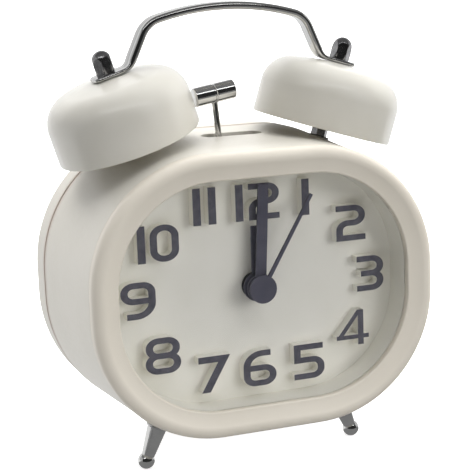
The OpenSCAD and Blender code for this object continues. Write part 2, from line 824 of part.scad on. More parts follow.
// hammer head: a short bar with bevelled ends and a groove round its middle
module hammer_head() color(steel) stance() translate([0, bell_y, 0]) hammer_frame()
  translate([0, 0, rod_len]) difference() {
    half = head_l / 2;
    bevel = 0.4;
    rotate([0, 90 - head_tilt, 0]) rotate_extrude()
      polygon([[0, -half], [head_r - bevel, -half], [head_r, bevel - half], [head_r, -0.3],
        [head_r - 0.2, 0], [head_r, 0.3], [head_r, half - bevel], [head_r - bevel, half], [0, half]]);
    translate([0, 0, -head_r - 1]) cylinder(r = rod_r + grip, h = head_r + 2.5);
  }

module hammer_rod() color(steel) stance() translate([0, bell_y, 0]) hammer_frame()
  translate([0, 0, socket_l - socket_in]) cylinder(r = rod_r, h = rod_len + 1.4 - socket_l + socket_in);

module hammer_lever() color(dark) stance() {
  reach = pivot_z - crank_z;
  difference() {
    hammer_frame() union() {
      slab(lever_y, lever_back) {
        circle(4.6);
        polygon([[-3.4, 0], [3.4, 0], [1.7, socket_l], [-1.7, socket_l]]);
        polygon([[-3.4, 0], [-3.2, -reach - 3.5], [3.2, -reach - 3.5], [3.4, 0]]);
      }
      bar(0, 0, 3, lever_back - 0.5, bracket_y - near);
    }
    hammer_frame() {
      bar(0, 0, pin_r + run, lever_y - 1, bracket_y);
      slab(lever_y - 1, lever_back + 1) translate([0, -reach]) rotate(90) slot_2d(6, 2 * crank_pin_r + 0.3);
      translate([0, bell_y, socket_l - socket_in]) cylinder(r = rod_r + grip, h = socket_in + 1);
    }
  }
}

module pivot_pin() color(steel) stance() difference() {
  bar(pivot_x, pivot_z, pin_r, lever_y - clip_t - 0.8, bracket_back);
  slab(lever_y - clip_t - 0.15, lever_y - 0.15) translate([pivot_x, pivot_z]) difference() {
    circle(pin_r + 1);
    circle(pin_r - 0.4);
  }
}

module pivot_clip() color(steel) stance() slab(lever_y - clip_t - 0.1, lever_y - 0.2)
  translate([pivot_x, pivot_z]) difference() {
    circle(2 * pin_r);
    circle(pin_r - 0.4 + grip);
    translate([0, -2]) square([1.6, 4], center = true);
  }

module motor_bracket() color(steel) stance() slab(bracket_y, bracket_back) difference() {
  union() {
    translate([crank_x - plate_side, crank_z - plate_side])
      square([2 * plate_side, pivot_z - crank_z + plate_side + plate_over]);
    translate([0, carry_z]) square([2 * carry_x, arm_h], center = true);
    for (s = [-1, 1])
      translate([s * carry_x, carry_z]) circle(boss_r + 1);
  }
  translate([pivot_x, pivot_z]) circle(pin_r + grip);
  translate([crank_x, crank_z]) circle(nose_r + slip);
  for (s = [-1, 1]) {
    translate([crank_x + s * motor_screw_x, crank_z]) circle(pilot + 0.25);
    translate([s * carry_x, carry_z]) circle(pilot + 0.35);
  }
}

module bracket_screws() color(steel) stance()
  both() rear_screw(carry_x, carry_z, bracket_back, pilot - run, 7, 2.2, 1.5);

module bell_motor() color(steel) stance() difference() {
  union() {
    slab(bracket_back, bracket_back + motor_l) translate([crank_x, crank_z]) intersection() {
      circle(motor_r);
      square([2 * motor_r + 1, 2 * motor_flat], center = true);
    }
    bar(crank_x, crank_z, nose_r, bracket_y + 0.2, bracket_back + 1);
    for (s = [-1, 1])
      translate([crank_x + s * 4, bracket_back + motor_l + 1.4, crank_z])
        cube([0.5, 3.4, 1.8], center = true);
  }
  bar(crank_x, crank_z, shaft_r + run, bracket_y - 1, bracket_back + shaft_in + 0.2);
  for (s = [-1, 1])
    bar(crank_x + s * motor_screw_x, crank_z, pilot, bracket_back - 1, bracket_back + 3.4);
}

module motor_screws() color(steel) stance()
  for (s = [-1, 1])
    translate([crank_x + s * motor_screw_x, bracket_y, crank_z]) rotate([90, 0, 0])
      screw(pilot - run, bracket_t + 3, 1.5, 0.6);

module motor_shaft() color(steel) stance()
  bar(crank_x, crank_z, shaft_r, disc_y + 0.2, bracket_back + shaft_in);

module motor_crank() color(pale) stance() difference() {
  union() {
    bar(crank_x, crank_z, 3.2, disc_y, disc_y + disc_t);
    bar(crank_x + crank_e * cos(crank_turn), crank_z + crank_e * sin(crank_turn), crank_pin_r,
      lever_back + near, disc_y + 0.5);
  }
  bar(crank_x, crank_z, shaft_r + grip, disc_y + 0.2, disc_y + disc_t + 1);
}

module battery_cell() color(dark) stance() translate([0, cell_y, cell_z]) rotate([0, 90, 0]) {
  translate([0, 0, -cell_l / 2 - nub_l / 2]) rotate_extrude()
    polygon([[0, 0], [cell_r - 0.6, 0], [cell_r, 0.6], [cell_r, cell_l - 0.6], [cell_r - 0.6, cell_l],
      [2.7, cell_l], [2.7, cell_l + nub_l], [0, cell_l + nub_l]]);
}

// leaf contacts at the ends of the bay, bowed towards the cell
module contact(side) {
  reach = bay_x - leaf_t - (cell_l + nub_l) / 2;
  translate([side * (bay_x - leaf_t / 2), cell_y, cell_z]) cube([leaf_t, 9, 12], center = true);
  translate([side * (bay_x - leaf_t), cell_y, cell_z]) rotate([0, -side * 90, 0])
    cylinder(r1 = 3.4, r2 = 1.6, h = reach);
}

module contact_plus() color(steel) stance() contact(1);
module contact_minus() color(steel) stance() contact(-1);

module battery_door() color(ivory) stance() translate([0, 0, cell_z]) difference() {
  union() {
    slab(door_in, body_d) translate([-door_x, hinge_r - door_dn])
      square([2 * door_x, door_up + door_dn - hinge_r]);
    translate([0, body_d - hinge_r, hinge_r - door_dn]) rotate([0, 90, 0]) rotate([0, 0, 90])
      linear_extrude(2 * door_x, center = true) intersection() {
        circle(hinge_r);
        translate([-3 * hinge_r, -2 * hinge_r]) square([6 * hinge_r, 4 * hinge_r]);
      }
    translate([0, body_d - hinge_r, hinge_r - door_dn]) rotate([0, 90, 0])
      cylinder(r = pintle_r, h = 2 * (door_x + pintle_l), center = true);
  }
  for (k = [0 : 3])
    slab(body_d - 0.4, body_d + 1) translate([0, door_up - 3 - 1.6 * k]) square([12, 0.7], center = true);
}

module switch_body() color(dark) stance() difference() {
  slab(plate_in - switch_d, plate_in) translate([0, switch_z]) square([switch_w, switch_h], center = true);
  slab(plate_in - 2.6, plate_in + 1) switch_way();
}

module switch_slider() color(dark) stance() slab(plate_in - 2.5, body_d + 1.6)
  translate([-slide_l / 2, switch_z]) square([thumb_l, thumb_w], center = true);

// front leg: a turned taper with a ring, a ball end and a threaded stud
module front_leg() leg_frame() rotate_extrude() {
  neck = leg_l - sqrt(ball_r * ball_r - leg_neck * leg_neck);
  polygon([[0, -7], [thread_r, -7], [thread_r, -leg_spot], [leg_top, -leg_spot], [leg_top, 0.9],
    [leg_collar, 1.2], [leg_collar, 2.2], [leg_top, 2.6], [leg_neck, neck + 0.4], [0, neck + 0.4]]);
  translate([0, leg_l]) intersection() {
    circle(ball_r);
    translate([0, -ball_r]) square([ball_r, 2 * ball_r]);
  }
}

module grounded() difference() {
  children();
  translate([-case_w, -case_w, -20]) cube([2 * case_w, 2 * case_w, 20]);
}

module right_foot() color(steel) grounded() stance() front_leg();
module left_foot() color(steel) grounded() stance() mirror([1, 0, 0]) front_leg();

module foot_nuts() color(steel) stance() both() translate([cx, leg_y, -cz]) rotate([0, 180 - leg_bear, 0])
  translate([0, 0, leg_pad - nut_t]) difference() {
    cylinder(r = nut_af / 2 / cos(30), h = nut_t, $fn = 6);
    translate([0, 0, -1]) cylinder(r = thread_r + run, h = nut_t + 2);
  }

module rear_foot() color(ivory) grounded() stance() translate([0, peg_y, 0]) rotate_extrude() {
  polygon([[0, peg_z], [peg_r, peg_z], [peg_top, peg_seat], [stud_r, peg_seat],
    [stud_r, peg_seat + stud_l], [0, peg_seat + stud_l]]);
  translate([0, peg_z]) quarter(peg_r, 1, -1);
}

module cover_screws() color(steel) stance() for (sz = [-1, 1])
  both() rear_screw(tower_x, sz * tower_z, screw_seat, pilot + 0.25, cover_screw_l,
    cover_head_r, cover_head_h);

front_bezel();
case_shell();
rear_cover();
lens();
dial_tray();
hour_numerals();
alarm_hand();
alarm_arbor();
hour_hand();
hour_arbor();
minute_hand();
minute_arbor();
second_hand();
second_arbor();
movement_case();
movement_cover();
movement_screws();
time_stem();
time_knob();
alarm_stem();
alarm_knob();
left_bell();
right_bell();
bell_posts();
bell_spacers();
post_washers();
post_nuts();
dome_nuts();
carry_handle();
hammer_head();
hammer_rod();
hammer_lever();
pivot_pin();
pivot_clip();
motor_bracket();
bracket_screws();
bell_motor();
motor_screws();
motor_shaft();
motor_crank();
battery_cell();
contact_plus();
contact_minus();
battery_door();
switch_body();
switch_slider();
left_foot();
right_foot();
foot_nuts();
rear_foot();
cover_screws();
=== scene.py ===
# %% [markdown]
# # A twin bell alarm clock, dressed for a studio picture
# The clock's solids come from its CAD model and stay where they are.
# This lesson gives them their finishes, and rebuilds the pieces that the eye follows most:
# the dished bezel, the bells, the strap handle, the nuts, the hammer head, the legs and the
# numerals. A scan or an image texture would be quicker, but shapes and nodes made in code stay
# sharp in close views and can be changed later.

# %% Load the CAD frame
import json
import math

import bmesh
import bpy
from mathutils import Matrix, Vector


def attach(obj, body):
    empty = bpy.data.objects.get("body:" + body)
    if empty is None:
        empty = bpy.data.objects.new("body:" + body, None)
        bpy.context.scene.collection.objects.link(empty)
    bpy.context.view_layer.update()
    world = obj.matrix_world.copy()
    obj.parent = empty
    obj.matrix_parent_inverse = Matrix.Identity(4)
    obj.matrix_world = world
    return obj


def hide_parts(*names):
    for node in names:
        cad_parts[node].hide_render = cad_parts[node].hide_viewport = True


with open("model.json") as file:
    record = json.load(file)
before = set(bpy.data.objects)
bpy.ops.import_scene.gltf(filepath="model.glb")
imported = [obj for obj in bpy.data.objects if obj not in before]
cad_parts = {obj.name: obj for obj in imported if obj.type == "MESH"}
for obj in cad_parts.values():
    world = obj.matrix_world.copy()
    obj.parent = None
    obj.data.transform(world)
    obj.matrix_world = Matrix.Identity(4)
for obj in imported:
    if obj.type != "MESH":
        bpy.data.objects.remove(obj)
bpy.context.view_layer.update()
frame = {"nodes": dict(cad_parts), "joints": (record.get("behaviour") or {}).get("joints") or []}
NODE = frame["nodes"]

# %% [markdown]
# ## The clock's own frame
# The clock leans back on its rear foot, so its dial isn't upright in the room.
# Every piece is easier to draw in the clock's own frame: x to the right, y into the depth
# from the bezel's face, z up the dial, all in millimetres from the middle of the dial.
# The axis that the second hand turns on gives that frame, so no angle is typed twice.

# %% Find the dial's axis
MM = 0.001
AXIS_POINT_DEPTH = 8
dial_turn = next(j for j in frame["joints"] if j["name"] == "second_turn")
depth_way = Vector(dial_turn["axis"]).normalized()
right_way = Vector((1, 0, 0))
up_way = right_way.cross(depth_way)
clock_turn = Matrix((right_way, depth_way, up_way)).transposed().to_4x4()
dial_middle = Vector(dial_turn["pos_m"]) - AXIS_POINT_DEPTH * MM * depth_way
CLOCK = Matrix.Translation(dial_middle) @ clock_turn @ Matrix.Scale(MM, 4)
print("the dial leans back", round(math.degrees(math.asin(-depth_way.z)), 2), "degrees")

# %% [markdown]
# ## The camera
# A camera can be placed by eye, but here it was worked out once from the outline of the case,
# the bells and the feet in the photograph. It is a long lens, a little above the clock
# and to its left. The three directions below are the picture's right, up and forward.

# %% Set the camera
PHOTO_WIDTH = 470
FOCAL_PIXELS = 1402.08
SENSOR = 36
camera_spot = Vector((-150.140, -373.962, 92.610))
picture_right = Vector((0.934009, -0.355326, -0.037028)).normalized()
picture_forward = Vector((0.343302, 0.921387, -0.182179)).normalized()
picture_up = picture_right.cross(picture_forward)

camera_data = bpy.data.cameras.new("studio_camera")
camera_data.sensor_width = SENSOR
camera_data.lens = FOCAL_PIXELS * SENSOR / PHOTO_WIDTH
camera_data.clip_start = 0.02
camera_data.clip_end = 30
camera = bpy.data.objects.new("studio_camera", camera_data)
bpy.context.scene.collection.objects.link(camera)
camera_turn = Matrix((picture_right, picture_up, -picture_forward)).transposed().to_4x4()
camera.matrix_world = Matrix.Translation(CLOCK @ camera_spot) @ clock_turn @ camera_turn
bpy.context.scene.camera = camera
print("lens", round(camera_data.lens, 1), "mm, camera at", [round(v, 3) for v in camera.location])

# %% [markdown]
# ## Tools for finishes
# Each finish is one Principled shader fed by a few noises: one shifts the colour a little,
# one the gloss, and one raises the surface. The noises are laid in object space, whose unit
# is the metre, so a blob size in millimetres is the same on every piece.

# %% Finish helpers
NOISE_SPAN = (0.3, 0.7)
RANGE_SOCKETS = ("From Min", "From Max", "To Min", "To Max")


def paint(red, green, blue):
    """A colour as a picture editor gives it, 0 to 255, made linear for the shader."""
    shares = [v / 255 for v in (red, green, blue)]
    return [s / 12.92 if s <= 0.04045 else ((s + 0.055) / 1.055) ** 2.4 for s in shares] + [1]


class Finish:
    """A material with its shader and the helpers that feed it."""

    def __init__(self, name, **sockets):
        self.material = bpy.data.materials.new(name)
        self.material.use_nodes = True
        self.tree = self.material.node_tree
        self.shader = self.tree.nodes["Principled BSDF"]
        self.where = self.tree.nodes.new("ShaderNodeTexCoord").outputs["Object"]
        for socket, value in sockets.items():
            self.shader.inputs[socket.replace("_", " ")].default_value = value

    def grain(self, size, detail=3.0, stretch=(1, 1, 1), tip=0.0):
        """Noise with blobs about size millimetres across, longer where stretch is above one.

        Its axes can be tipped by an angle in degrees about the x axis.
        """
        mapping = self.tree.nodes.new("ShaderNodeMapping")
        mapping.vector_type = "TEXTURE"
        mapping.inputs["Scale"].default_value = [size * MM * s for s in stretch]
        mapping.inputs["Rotation"].default_value = (math.radians(tip), 0, 0)
        noise = self.tree.nodes.new("ShaderNodeTexNoise")
        noise.inputs["Scale"].default_value = 1
        noise.inputs["Detail"].default_value = detail
        self.tree.links.new(self.where, mapping.inputs["Vector"])
        self.tree.links.new(mapping.outputs["Vector"], noise.inputs["Vector"])
        return noise.outputs["Fac"]

    def colour(self, fac, low, high):
        """A colour that drifts between two tones with a noise."""
        ramp = self.tree.nodes.new("ShaderNodeValToRGB")
        for stop, spot, tone in zip(ramp.color_ramp.elements, NOISE_SPAN, (low, high)):
            stop.position = spot
            stop.color = tone
        self.tree.links.new(fac, ramp.inputs["Fac"])
        self.tree.links.new(ramp.outputs["Color"], self.shader.inputs["Base Color"])

    def gloss(self, fac, low, high):
        """A roughness that drifts between two values with a noise."""
        spread = self.tree.nodes.new("ShaderNodeMapRange")
        for socket, value in zip(RANGE_SOCKETS, (*NOISE_SPAN, low, high)):
            spread.inputs[socket].default_value = value
        self.tree.links.new(fac, spread.inputs["Value"])
        self.tree.links.new(spread.outputs["Result"], self.shader.inputs["Roughness"])

    def relief(self, fac, height, strength):
        """A surface raised by a noise, its height in millimetres."""
        bump = self.tree.nodes.new("ShaderNodeBump")
        bump.inputs["Distance"].default_value = height * MM
        bump.inputs["Strength"].default_value = strength
        self.tree.links.new(fac, bump.inputs["Height"])
        self.tree.links.new(bump.outputs["Normal"], self.shader.inputs["Normal"])


print("finish helpers are ready")

# %% [markdown]
# ## Ivory plastic and enamel
# The case is moulded in a warm ivory with a satin skin: its colour drifts slightly over
# centimetres, and a fine pebble from the mould breaks up the gloss. Round the seam of the rear
# cover a soft brown painted shadow is laid, in place of the shade its groove would catch. The bezel
# is warmer than the case and a little lighter, the lightening being painted light; the dial is whiter, as
# painted light in its recess, and duller.
# The bells are pressed metal under enamel in the case's ivory, painted a little darker as shade, and
# smoother, with a long soft ripple instead of a pebble and a clear coat on top.

# %% A painted shadow along a seam
def paint_seam_shadow(finish, depth, half_width, tone):
    """A painted shadow: a soft darker line round the clock at one depth, laid over the colour that a finish
    has so far.
    """
    nodes, links = finish.tree.nodes, finish.tree.links
    along = nodes.new("ShaderNodeVectorMath")
    along.operation = "DOT_PRODUCT"
    along.inputs[1].default_value = depth_way / MM
    away = nodes.new("ShaderNodeMath")
    away.operation = "SUBTRACT"
    away.inputs[1].default_value = depth + dial_middle.dot(depth_way) / MM
    apart = nodes.new("ShaderNodeMath")
    apart.operation = "ABSOLUTE"
    fade = nodes.new("ShaderNodeMapRange")
    fade.interpolation_type = "SMOOTHSTEP"
    for socket, value in zip(RANGE_SOCKETS, (0, half_width, 1, 0)):
        fade.inputs[socket].default_value = value
    cover = nodes.new("ShaderNodeMixRGB")
    cover.inputs["Color2"].default_value = tone
    colour_socket = finish.shader.inputs["Base Color"]
    links.new(finish.where, along.inputs[0])
    links.new(along.outputs["Value"], away.inputs[0])
    links.new(away.outputs["Value"], apart.inputs[0])
    links.new(apart.outputs["Value"], fade.inputs["Value"])
    links.new(fade.outputs["Result"], cover.inputs["Fac"])
    links.new(colour_socket.links[0].from_socket, cover.inputs["Color1"])
    links.new(cover.outputs["Color"], colour_socket)
    print("seam shade laid at a depth of", depth, "mm")


# %% Ivory finishes
REAR_SEAM = 48
SEAM_SHADOW_SPREAD = 3
case_finish = Finish("moulded_ivory", Coat_Weight=0.12, Coat_Roughness=0.3)
case_finish.colour(case_finish.grain(26), paint(221, 217, 206), paint(226, 222, 212))
# Painted shadow round the rear seam, standing in for the shade in its groove.
paint_seam_shadow(case_finish, REAR_SEAM, SEAM_SHADOW_SPREAD, paint(196, 182, 170))
case_finish.gloss(case_finish.grain(1.4), 0.36, 0.5)
case_finish.relief(case_finish.grain(0.5, 2), 0.02, 0.35)

# The enamel is a little darker than the case's ivory: painted shade on the bells.
bell_finish = Finish("ivory_enamel", Coat_Weight=0.8, Coat_Roughness=0.18)
bell_finish.colour(bell_finish.grain(18), paint(212, 209, 199), paint(217, 214, 205))
bell_finish.gloss(bell_finish.grain(3), 0.3, 0.4)
bell_finish.relief(bell_finish.grain(4, 1), 0.02, 0.3)

# A warmer ivory, and a little lighter than the case: the lightening is painted light on the dished face.
bezel_finish = Finish("bezel_ivory", Coat_Weight=0.1, Coat_Roughness=0.35)
bezel_finish.colour(bezel_finish.grain(30), paint(225, 218, 204), paint(230, 223, 210))
bezel_finish.gloss(bezel_finish.grain(1.4), 0.4, 0.54)
bezel_finish.relief(bezel_finish.grain(0.5, 2), 0.02, 0.35)

# Whiter than the case's ivory: painted light on the recessed dial and its numerals.
dial_finish = Finish("dial_plastic", Specular_IOR_Level=0.3)
dial_finish.colour(dial_finish.grain(9), paint(241, 239, 230), paint(246, 244, 236))
dial_finish.gloss(dial_finish.grain(0.8), 0.55, 0.7)
dial_finish.relief(dial_finish.grain(0.3, 2), 0.012, 0.4)
print("ivory finishes made")

# %% [markdown]
# ## Dark paint and print
# The hands are thin metal under a slate paint, and the numerals' faces are printed in a
# similar slate. Both are matt, with a faint mottling that stops them looking like cut paper.

# %% Slate finishes
hand_finish = Finish("slate_paint", Specular_IOR_Level=0.35)
hand_finish.colour(hand_finish.grain(5), paint(78, 77, 91), paint(89, 88, 102))
hand_finish.gloss(hand_finish.grain(1), 0.45, 0.6)
hand_finish.relief(hand_finish.grain(0.25, 2), 0.008, 0.3)

print_finish = Finish("numeral_print", Specular_IOR_Level=0.35)
print_finish.colour(print_finish.grain(2.2), paint(82, 81, 92), paint(100, 99, 109))
print_finish.gloss(print_finish.grain(0.7), 0.42, 0.6)
print_finish.relief(print_finish.grain(0.3, 2), 0.01, 0.4)
print("slate finishes made")

# %% [markdown]
# ## Plated and plain metal
# Chrome is nearly a mirror, so its look is what it reflects. Only its gloss varies a little,
# where fingers and polishing have dulled it. The handle's strap was drawn through a die, so
# fine streaks run along it: a noise ninety times as long as it is wide, tipped to lie flat
# in the strap. The nuts have a darker plate, the hidden fasteners a plain zinc with streaks,
# and the nested arbors are turned brass.

# %% Metal finishes
chrome_finish = Finish("bright_chrome", Metallic=1)
chrome_finish.colour(chrome_finish.grain(6), paint(196, 196, 196), paint(210, 210, 209))
chrome_finish.gloss(chrome_finish.grain(2), 0.06, 0.14)
chrome_finish.relief(chrome_finish.grain(5, 1), 0.01, 0.2)

STRAP_TIP = -3.2
STREAK = (90, 1, 90)
strap_finish = Finish("drawn_chrome", Metallic=1)
streaks = strap_finish.grain(0.5, 2, STREAK, STRAP_TIP)
strap_finish.colour(streaks, paint(150, 150, 150), paint(206, 206, 205))
strap_finish.gloss(strap_finish.grain(2), 0.06, 0.14)
strap_finish.relief(strap_finish.grain(0.55, 2, STREAK, STRAP_TIP), 0.06, 0.8)

nut_finish = Finish("dark_chrome", Metallic=1)
nut_finish.colour(nut_finish.grain(2), paint(128, 128, 130), paint(158, 158, 159))
nut_finish.gloss(nut_finish.grain(0.8), 0.14, 0.26)
nut_finish.relief(nut_finish.grain(1.5, 2), 0.01, 0.3)

zinc_finish = Finish("zinc_steel", Metallic=1)
zinc_finish.colour(zinc_finish.grain(3), paint(168, 169, 172), paint(190, 190, 191))
zinc_finish.gloss(zinc_finish.grain(0.4, 2, (1, 12, 1)), 0.26, 0.42)
zinc_finish.relief(zinc_finish.grain(0.3, 2, (1, 12, 1)), 0.006, 0.4)

brass_finish = Finish("turned_brass", Metallic=1)
brass_finish.colour(brass_finish.grain(2), paint(196, 164, 98), paint(214, 184, 118))
brass_finish.gloss(brass_finish.grain(0.4, 2, (1, 1, 6)), 0.2, 0.34)
print("metal finishes made")

# %% [markdown]
# ## Black plastic, white plastic, the cell's jacket and the window
# The back has black knobs and a black switch with a coarse mould grain. The window is clear:
# a real pane bends light very little, so a thin, mostly see-through film with a sharp gloss
# does the same as glass and lets the dial keep its soft shadows.

# %% Remaining finishes
black_finish = Finish("black_plastic", Specular_IOR_Level=0.4)
black_finish.colour(black_finish.grain(4), paint(38, 38, 41), paint(50, 50, 53))
black_finish.gloss(black_finish.grain(0.8), 0.42, 0.6)
black_finish.relief(black_finish.grain(0.4, 2), 0.02, 0.5)

white_finish = Finish("white_plastic", Specular_IOR_Level=0.4)
white_finish.colour(white_finish.grain(5), paint(226, 226, 222), paint(234, 234, 230))
white_finish.gloss(white_finish.grain(1), 0.4, 0.55)

jacket_finish = Finish("cell_jacket", Coat_Weight=0.3, Coat_Roughness=0.2)
jacket_finish.colour(jacket_finish.grain(3), paint(58, 62, 70), paint(70, 74, 82))
jacket_finish.gloss(jacket_finish.grain(1.2), 0.3, 0.42)

window_finish = Finish("clear_window", Alpha=0.05, IOR=1.49)
window_finish.colour(window_finish.grain(20), paint(70, 74, 75), paint(84, 88, 88))
window_finish.gloss(window_finish.grain(6), 0.03, 0.08)
print("plastic, jacket and window finishes made")

# %% [markdown]
# ## Dressing the CAD pieces
# A CAD piece whose shape is right keeps its mesh and only takes a finish. One table says
# which finish goes on which piece, so that none is forgotten.

# %% Give every CAD piece its finish
dressing = {
    case_finish: ["case_shell", "rear_cover", "battery_door", "rear_foot"],
    bezel_finish: ["front_bezel"],
    bell_finish: ["left_bell", "right_bell"],
    dial_finish: ["dial_tray", "hour_numerals"],
    hand_finish: ["alarm_hand", "hour_hand", "minute_hand", "second_hand"],
    chrome_finish: ["hammer_head", "hammer_rod", "left_foot", "right_foot"],
    strap_finish: ["carry_handle"],
    nut_finish: ["dome_nuts", "bell_spacers", "post_washers"],
    zinc_finish: [
        "bell_posts", "post_nuts", "foot_nuts", "movement_screws", "bracket_screws",
        "motor_screws", "cover_screws", "time_stem", "alarm_stem", "pivot_pin", "pivot_clip",
        "motor_bracket", "bell_motor", "motor_shaft", "contact_plus", "contact_minus",
    ],
    brass_finish: ["alarm_arbor", "hour_arbor", "minute_arbor", "second_arbor"],
    black_finish: [
        "movement_case", "movement_cover", "time_knob", "alarm_knob", "hammer_lever",
        "switch_body", "switch_slider",
    ],
    white_finish: ["motor_crank"],
    jacket_finish: ["battery_cell"],
    window_finish: ["lens"],
}
for finish, names in dressing.items():
    for name in names:
        NODE[name].data.materials.clear()
        NODE[name].data.materials.append(finish.material)
bare = set(NODE) - {name for names in dressing.values() for name in names}
print("dressed", len(NODE), "CAD pieces, left bare:", sorted(bare))

# %% [markdown]
# ## Tools for new pieces
# Most of the clock is either turned (bells, legs, nuts) or one section carried along a path
# (bezel, handle). Both are rows of points with faces skinned between them, so one helper
# makes the faces, and another turns a profile round an axis.

# %% Mesh helpers
MERGE = 0.002


def skin(rings, loop=False):
    """Faces between rings of equally many points. A loop also joins the last ring to the first."""
    count = len(rings[0])
    faces = []
    for i in range(len(rings) if loop else len(rings) - 1):
        here, there = i * count, (i + 1) % len(rings) * count
        for k in range(count):
            after = (k + 1) % count
            faces.append((here + k, here + after, there + after, there + k))
    return [p for ring in rings for p in ring], faces


def turned(profile, place, steps=72):
    """A ring of points round the z axis of place for each (radius, height) of the profile."""
    turns = [2 * math.pi * k / steps for k in range(steps)]
    return [
        [place @ Vector((r * math.cos(a), r * math.sin(a), h)) for a in turns]
        for r, h in profile
    ]


def arc(middle, radius, start, end, steps):
    """Points of an arc between two angles in degrees."""
    angles = [math.radians(start + (end - start) * k / steps) for k in range(steps + 1)]
    return [(middle[0] + radius * math.cos(a), middle[1] + radius * math.sin(a)) for a in angles]


def make_piece(name, shape, finish, body, nodes, sharp=40):
    """A mesh from points in the clock's frame, smooth but for edges sharper than an angle.

    It rides on a body and stands for CAD nodes.
    """
    points, faces = shape
    mesh = bpy.data.meshes.new(name)
    mesh.from_pydata([CLOCK @ Vector(p) for p in points], [], faces)
    drawn = bmesh.new()
    drawn.from_mesh(mesh)
    bmesh.ops.remove_doubles(drawn, verts=drawn.verts, dist=MERGE * MM)
    bmesh.ops.recalc_face_normals(drawn, faces=drawn.faces)
    drawn.to_mesh(mesh)
    drawn.free()
    mesh.shade_smooth()
    mesh.set_sharp_from_angle(angle=math.radians(sharp))
    mesh.materials.append(finish.material)
    piece = bpy.data.objects.new(name, mesh)
    bpy.context.scene.collection.objects.link(piece)
    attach(piece, body)
    if nodes:
        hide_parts(*nodes)
    print(name, "has", len(mesh.polygons), "faces")


print("mesh helpers are ready")

# %% [markdown]
# ## The bezel
# The bezel is a moulded ring with a dished face: it falls from a soft outer edge to a small
# bead round the window, with a very fine step behind it where it meets the case.
# Its section is carried round the outline of the case, four quarter circles and the
# straights between them. A boolean of two blocks would leave hard creases where the light
# should roll over. Behind the lip the ring is drawn shut over the window's hidden rim,
# because an open slot there would show as a black line.

# %% Outline of the case
CASE_R = 38.5
CORNER_X = 15.5
CORNER_Z = 4
CORNER_STEPS = 48


def outline_ring(radius, depth):
    """The case's outline drawn in to a corner radius, at one depth."""
    ring = []
    for quarter, (sx, sz) in enumerate(((1, 1), (-1, 1), (-1, -1), (1, -1))):
        for k in range(CORNER_STEPS + 1):
            a = math.radians(90 * (quarter + k / CORNER_STEPS))
            ring.append((sx * CORNER_X + radius * math.cos(a), depth, sz * CORNER_Z + radius * math.sin(a)))
    return ring


print("the case is", 2 * (CORNER_X + CASE_R), "mm wide and", 2 * (CORNER_Z + CASE_R), "mm high in front")

# %% Bezel
LIP_R = 30.4
EDGE_R = 2.8
LIP_DEPTH = 1.6
BEAD_R = 0.6
BEAD_FLAT = 0.3
BEAD_DROP = 0.03
SEAM_DEPTH = 5
SEAM_STEP = 0.12
SEAM_ROUND = 0.1
LENS_FRONT = 3
LENS_BACK = 4.48
SEAT_R = 30.8
SKIRT_OUT = 36.2
SKIRT_IN = 34.4
SKIRT_BACK = 12
FACE_SLOPE = 23.9
bezel_profile = [(LIP_R, LENS_FRONT)]
bezel_profile += arc((LIP_R + BEAD_R, LIP_DEPTH + BEAD_R), BEAD_R, 180, 270, 8)
bezel_profile += [(LIP_R + BEAD_R + BEAD_FLAT, LIP_DEPTH + BEAD_DROP)]
bezel_profile += arc((CASE_R - EDGE_R, EDGE_R), EDGE_R, -90 - FACE_SLOPE, 0, 20)
bezel_profile += arc((CASE_R - SEAM_ROUND, SEAM_DEPTH - SEAM_STEP - SEAM_ROUND), SEAM_ROUND, 0, 90, 4)
bezel_profile += [(CASE_R - SEAM_STEP, SEAM_DEPTH - SEAM_STEP), (CASE_R - SEAM_STEP, SEAM_DEPTH)]
bezel_profile += [(SKIRT_OUT, SEAM_DEPTH), (SKIRT_OUT, SKIRT_BACK), (SKIRT_IN, SKIRT_BACK)]
bezel_profile += [(SKIRT_IN, LENS_BACK), (SEAT_R, LENS_BACK), (SEAT_R, LENS_FRONT)]
bezel_rings = [outline_ring(r, d) for r, d in bezel_profile]
make_piece(
    "bezel_ring", skin(bezel_rings, loop=True), bezel_finish, "clock_body",
    ["front_bezel"],
)

# %% [markdown]
# ## The bells
# A bell is a shallow cup of pressed steel: a nearly flat crown, a generous shoulder and a
# straight wall that ends in a rounded rim. Crown and shoulder are two circles that touch
# without a kink, so the section is drawn with arcs and turned round the bell's own axis.
# Bells, nuts and handle also nod forward a little about the line through the rims' middles,
# and one matrix carries that nod for all of them.

# %% Bells
BELL_SPOT = (31.5164, 32.2, 44.0437)
BELL_TILT = 17.2
BELL_NOD = 2.5
BELL_R = 22.2
BELL_H = 21
BELL_WALL = 1.2
SHOULDER_R = 9.4
CROWN_R = 75
POST_HOLE = 1.7
nod = Matrix.Rotation(math.radians(BELL_NOD), 4, "X")
tilt = Matrix.Rotation(math.radians(BELL_TILT), 4, "Y")
nod_place = Matrix.Translation((0, BELL_SPOT[1], BELL_SPOT[2])) @ nod
tilt_place = Matrix.Translation((BELL_SPOT[0], 0, 0)) @ tilt
right_bell_place = nod_place @ tilt_place
MIRROR = Matrix.Scale(-1, 4, (1, 0, 0))
SIDES = {"left": MIRROR, "right": Matrix.Identity(4)}

shoulder_x = BELL_R - SHOULDER_R
shoulder_z = BELL_H - CROWN_R + math.sqrt((CROWN_R - SHOULDER_R) ** 2 - shoulder_x**2)
meet = math.degrees(math.acos(shoulder_x / (CROWN_R - SHOULDER_R)))


def bell_side(inset, steps):
    """The bell's section from the post's hole to the rim, drawn in by inset."""
    crown = CROWN_R - inset
    hole = math.degrees(math.acos(POST_HOLE / crown))
    line = arc((0, BELL_H - CROWN_R), crown, hole, meet, steps)
    line += arc((shoulder_x, shoulder_z), SHOULDER_R - inset, meet, 0, 2 * steps)[1:]
    return line


